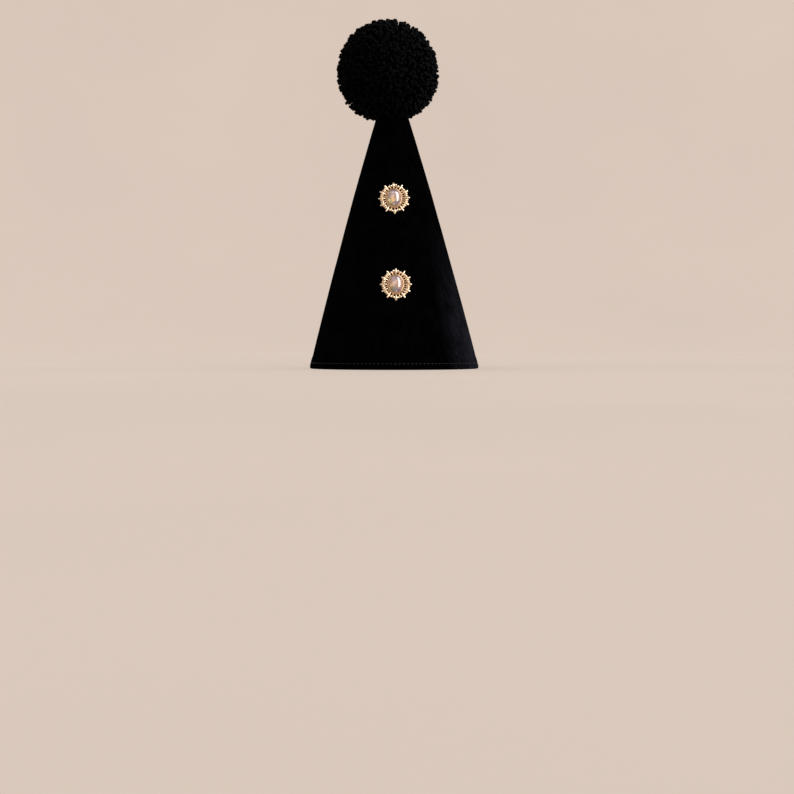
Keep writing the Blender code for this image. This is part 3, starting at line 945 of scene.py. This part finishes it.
# The brooches


def brooch_matrix(row):
    azimuth = math.radians(row["azimuth"])
    height = row["height"]
    slope = cone_slope(height)
    outward = Vector((math.sin(azimuth), -math.cos(azimuth), 0.0))
    upward = (outward * slope + Vector((0.0, 0.0, 1.0))).normalized()
    normal = (outward - Vector((0.0, 0.0, slope))).normalized()
    right = upward.cross(normal)
    place = Vector((axis_x(height), 0.0, height)) + outward * float(cone_radius(height)) + normal * GAP
    basis = Matrix((right, upward, normal)).transposed().to_4x4()
    return Matrix.Translation(place) @ basis @ Matrix.Rotation(math.radians(row["turn"]), 4, "Z")


def oval_point(half, turn, height):
    return Vector((half[0] * math.cos(turn), half[1] * math.sin(turn), height))


def polar_radius(half, turn):
    """An oval's distance from its middle in one direction."""
    return half[0] * half[1] / math.hypot(half[1] * math.cos(turn), half[0] * math.sin(turn))


def inset(half, amount):
    return (half[0] - amount, half[1] - amount)


def spike_turns():
    """Directions of the spikes, anticlockwise from the right, in radians."""
    degrees = set()
    for pole in (90.0, 270.0):
        for bearing in SPIKE_BEARINGS:
            degrees.add((pole + bearing) % 360)
            degrees.add((pole - bearing) % 360)
    return [math.radians(turn) for turn in sorted(degrees)]


def add_ring_wire(builder, half, level, radius, sides):
    count = 160
    path = [oval_point(half, math.tau * i / count, level) for i in range(count)]
    builder.sweep(path, [radius] * count, sides, closed=True)


def add_gallery(builder):
    """A thin pierced plate between a heavy outer wire and a fine inner one."""
    inner = GALLERY_INNER_HALF
    outer = (PLATE_RADIUS, PLATE_RADIUS)
    steps = [(inner, PLATE_BOTTOM), (outer, PLATE_BOTTOM), (outer, PLATE_TOP), (inner, PLATE_TOP)]
    builder.ovals(steps + [(inner, PLATE_BOTTOM)], 128, capped=False)
    builder.tone(PAINTED_METAL_LIGHT["plate"])
    rim = GALLERY_RADIUS - RIM_WIRE
    add_ring_wire(builder, (rim, rim), RIM_WIRE_LEVEL, RIM_WIRE, 10)
    builder.tone(PAINTED_METAL_LIGHT["rim_wire"])
    add_ring_wire(builder, inset(inner, -FINE_WIRE_OUTSET), GALLERY_LEVEL, FINE_WIRE, 8)
    builder.tone(PAINTED_METAL_LIGHT["fine_wire"])


def add_spike(builder, turn, stem_start):
    """A rod from the bezel over the gallery, blunt at its end. The top and bottom ones are broad leaves."""
    reach = math.hypot(SPIKE_REACH[0] * math.cos(turn), SPIKE_REACH[1] * math.sin(turn))
    beyond = reach - GALLERY_RADIUS
    outward = Vector((math.cos(turn), math.sin(turn), 0))
    upright = abs(outward.x) < 0.01
    stations = [
        (stem_start, STEM_HALF_WIDTH),
        (stem_start + STEM_LENGTH, STEM_HALF_WIDTH),
        (GALLERY_RADIUS - STEM_SWELL["before_rim"], STEM_SWELL["half"]),
    ]
    for row in LEAF_SPIKE if upright else ROD_SPIKE:
        stations.append((GALLERY_RADIUS + beyond * row["along"], row["half"]))
    path = []
    for along, _ in stations:
        lift = STEM_LIFT if along < GALLERY_RADIUS else SPIKE_LIFT
        path.append(outward * along + Vector((0, 0, GALLERY_LEVEL + lift)))
    flat = LEAF_FLATNESS if upright else ROD_FLATNESS
    builder.sweep(path, [half for _, half in stations], 12, flat=flat)
    builder.tone(PAINTED_METAL_LIGHT["spike"])


def add_strut(builder, turn):
    """A plain bar from the bezel to the gallery."""
    ray = Vector((math.cos(turn), math.sin(turn), 0))
    low = polar_radius(BEZEL_HALF, turn) - BEZEL_OVERLAP
    high = polar_radius(GALLERY_INNER_HALF, turn) + GALLERY_OVERLAP
    path = [ray * (low + (high - low) * k / 4) + Vector((0, 0, GALLERY_LEVEL)) for k in range(5)]
    builder.sweep(path, [STRUT_RADIUS] * len(path), 10)
    builder.tone(PAINTED_METAL_LIGHT["strut"])


def add_rays(builder, draw):
    """Stems that end in spikes, plain struts between them, and two beads and scallops in each bay."""
    turns = spike_turns()
    for i, turn in enumerate(turns):
        following = turns[(i + 1) % len(turns)] + (math.tau if i + 1 == len(turns) else 0)
        add_spike(builder, turn, polar_radius(BEZEL_HALF, turn) - BEZEL_OVERLAP)
        add_strut(builder, (turn + following) / 2)
        for k in (1, 2):
            bay = turn + (following - turn) * (k / 3 + draw.uniform(-BEAD_DRIFT, BEAD_DRIFT))
            out = 1 + draw.uniform(*BEAD_STRAY)
            oval = (BEAD_OVAL[0] * out, BEAD_OVAL[1] * out)
            place = oval_point(oval, bay, BEAD_LEVEL + draw.uniform(*BEAD_LIFT))
            # Each bead gets a random painted glint, and each scallop random painted light
            builder.ball(place, BEAD_RADIUS * draw.uniform(*BEAD_SCALE))
            builder.tone(draw.uniform(*BEAD_PAINTED_GLINT))
            builder.ball(oval_point((SCALLOP_PLACE, SCALLOP_PLACE), bay, SCALLOP_LEVEL), SCALLOP_RADIUS)
            builder.tone(draw.uniform(*SCALLOP_PAINTED_LIGHT))


def paint_light_and_shade(mesh, builder):
    """Stores each point's painted tone for the metal, made darker low down by painted shade, towards the
    recesses.
    """
    relief = mesh.attributes.new("relief", "FLOAT", "POINT")
    values = []
    for point, tone in zip(builder.points, builder.tones):
        depth = min(1.0, max(0.0, (PAINTED_SHADE_TOP - point.z) / PAINTED_SHADE_DEPTH))
        values.append(tone - PAINTED_SHADE_STRENGTH * depth)
    relief.data.foreach_set("value", values)


def add_metal(builder, row, form, metal, replaced=()):
    name = f"{row['name']}_{form}"
    mesh = builder.mesh(name, brooch_matrix(row))
    paint_light_and_shade(mesh, builder)
    add_piece(name, mesh, metal, replaced)


def brooch_frame(row, gold):
    """The filigree with its post."""
    draw = random.Random(row["seed"])
    builder = Builder()
    add_gallery(builder)
    add_rays(builder, draw)
    post = [Vector((0, 0, level)) for level in (-POST_LENGTH, -POST_LENGTH * 0.5, BEZEL_BASE / 2)]
    builder.sweep(post, [POST_RADIUS] * len(post), 16, up=Vector((0, 1, 0)))
    builder.tone(PAINTED_METAL_LIGHT["post"])
    add_metal(builder, row, "filigree", gold, [f"{row['name']}_brooch_frame"])


def brooch_bezel(row, rose_gold):
    """The closed cup and the broad sloping lip that holds the stone."""
    builder = Builder()
    steps = [(inset(BEZEL_HALF, BEZEL_WALL * step["inset"]), step["height"]) for step in BEZEL_SECTION]
    builder.ovals(steps, 128)
    builder.tone(PAINTED_METAL_LIGHT["bezel"])
    add_metal(builder, row, "bezel", rose_gold)


def cabochon(row):
    builder = Builder()
    half = inset(BEZEL_HALF, BEZEL_WALL + GAP * 0.5)
    floor = BEZEL_BASE + GAP
    girdle = floor + CABOCHON_GIRDLE
    steps = [(inset(half, CABOCHON_CHAMFER), floor), (half, floor + CABOCHON_CHAMFER), (half, girdle)]
    for i in range(1, CABOCHON_ROUNDS + 1):
        turn = math.radians(90) * i / (CABOCHON_ROUNDS + 0.35)  # stops short of the pole, for a small top
        scale = math.cos(turn)
        steps.append(((half[0] * scale, half[1] * scale), girdle + CABOCHON_DOME * math.sin(turn)))
    builder.ovals(steps, 96)
    name = f"{row['name']}_opal"
    mesh = builder.mesh(name, brooch_matrix(row))
    place = mesh.attributes.new("stone_place", "FLOAT_VECTOR", "POINT")
    values = [value for point in builder.points for value in (point / half[1])]
    place.data.foreach_set("vector", values)
    add_piece(name, mesh, opal_material(name, row), [f"{row['name']}_cabochon"])


def build_brooches():
    gold = gold_material("gold_plate", GOLD_TONES)
    rose_gold = gold_material("rose_gold_plate", ROSE_GOLD_TONES)
    steel = steel_material("clutch_steel")
    for row in BROOCHES:
        brooch_frame(row, gold)
        brooch_bezel(row, rose_gold)
        cabochon(row)
        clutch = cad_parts[f"{row['name']}_pin_clutch"]
        clutch.data.materials.clear()
        clutch.data.materials.append(steel)


def build_hat():
    add_piece("velvet_cone", cone_cover(), velvet_material("velvet_pile"), ["cone_shell"])
    binding = velvet_material("binding_velvet")
    add_piece("rim_band", band_cover(), binding, ["rim_binding"])
    add_piece("topstitching", stitch_row(), thread_material("black_thread"))
    build_pompom()
    build_brooches()


# The stage, the lights and the camera


def stage_material():
    """Matt beige, with a faint glow of its own that evens out floor and wall."""
    material, nodes, links, shader = new_material("stage")
    cloud = add_noise(nodes, links, object_coordinates(nodes), scale=1.4, detail=4.0, roughness=0.55)
    links.new(add_ramp(nodes, links, cloud, (0.3, 0.7), STAGE_TONES), shader.inputs["Base Color"])
    set_sockets(shader, {
        "Emission Color": (*STAGE_GLOW, 1.0),
        "Emission Strength": 0.4,
        "Roughness": 0.9,
        "Specular IOR Level": 0.1,
    })
    return material


def add_stage():
    """A pale floor that turns up into a round wall behind and on all sides."""
    steps = [(0.02, 0.0), (FLOOR_RADIUS * 0.9, 0.0), (FLOOR_RADIUS, 0.0)]
    bend = WALL_RADIUS - FLOOR_RADIUS
    for i in range(1, STAGE_BEND_STEPS + 1):
        turn = math.radians(90) * i / STAGE_BEND_STEPS
        steps.append((FLOOR_RADIUS + bend * math.sin(turn), bend * (1 - math.cos(turn))))
    steps.append((WALL_RADIUS, WALL_HEIGHT))
    points = []
    for radius, height in steps:
        for k in range(STAGE_COLUMNS):
            turn = math.tau * k / STAGE_COLUMNS
            points.append((radius * math.cos(turn), radius * math.sin(turn), height))
    faces = grid_faces(len(steps), STAGE_COLUMNS)[:, ::-1].tolist()
    faces.append(list(range(STAGE_COLUMNS)))
    mesh = mesh_of("stage", points, faces)
    mesh.materials.append(stage_material())
    mesh.shade_smooth()
    stage = bpy.data.objects.new("stage", mesh)
    bpy.context.scene.collection.objects.link(stage)


def add_lamp(row, kind, target, names):
    """A lamp turned to its target. It falls on the named pieces alone, so that it leaves no streak on
    floor or wall."""
    lamp = bpy.data.lights.new(row["name"], kind)
    lamp.energy = row["watts"]
    lamp.color = row["colour"]
    light = bpy.data.objects.new(row["name"], lamp)
    bpy.context.scene.collection.objects.link(light)
    side, rise = math.radians(row["azimuth"]), math.radians(row["elevation"])
    away = Vector((math.sin(side) * math.cos(rise), -math.cos(side) * math.cos(rise), math.sin(rise)))
    light.location = target + away * LAMP_DISTANCE
    turned = (-away).to_track_quat("-Z", "Y") @ Quaternion((0, 0, 1), math.radians(row["roll"]))
    light.rotation_euler = turned.to_euler()
    light.visible_camera = False
    lit = bpy.data.collections.new(f"{row['name']}_falls_on")
    for name in names:
        lit.objects.link(bpy.data.objects[name])
    light.light_linking.receiver_collection = lit
    return lamp


def add_lights():
    hat = [piece.name for piece in bpy.data.objects if piece.type == "MESH" and piece.name != "stage"]
    for row in SOFTBOXES:
        lamp = add_lamp(row, "AREA", HAT_MIDDLE, row["falls_on"] or hat)
        lamp.shape = "RECTANGLE"
        lamp.size, lamp.size_y = row["size"]
    rake = add_lamp(RAKE, "SPOT", RAKE_TARGET, VELVET_PIECES)
    rake.spot_size = math.radians(RAKE_ANGLE)
    rake.spot_blend = 1.0
    rake.shadow_soft_size = RAKE_SOFTNESS
    world = bpy.data.worlds.new("studio")
    bpy.context.scene.world = world
    world.use_nodes = True
    background = world.node_tree.nodes["Background"]
    set_sockets(background, {"Color": (*WORLD_LIGHT, 1.0), "Strength": WORLD_STRENGTH})


def add_camera():
    camera = bpy.data.objects.new("camera", bpy.data.cameras.new("camera"))
    bpy.context.scene.collection.objects.link(camera)
    camera.data.sensor_width = SENSOR_WIDTH
    camera.data.lens = LENS_PIXELS * SENSOR_WIDTH / PICTURE_SIDE
    camera.data.clip_start = 0.01
    camera.data.clip_end = 50.0
    camera.location = (CAMERA_SIDE, -CAMERA_DISTANCE, CAMERA_HEIGHT)
    camera.rotation_euler = (math.radians(90 - CAMERA_PITCH), 0.0, 0.0)
    bpy.context.scene.camera = camera
    bpy.context.scene.view_settings.view_transform = "Standard"
    bpy.context.scene.view_settings.look = "None"


add_camera()
add_stage()
build_hat()
add_lights()

bpy.context.view_layer.update()
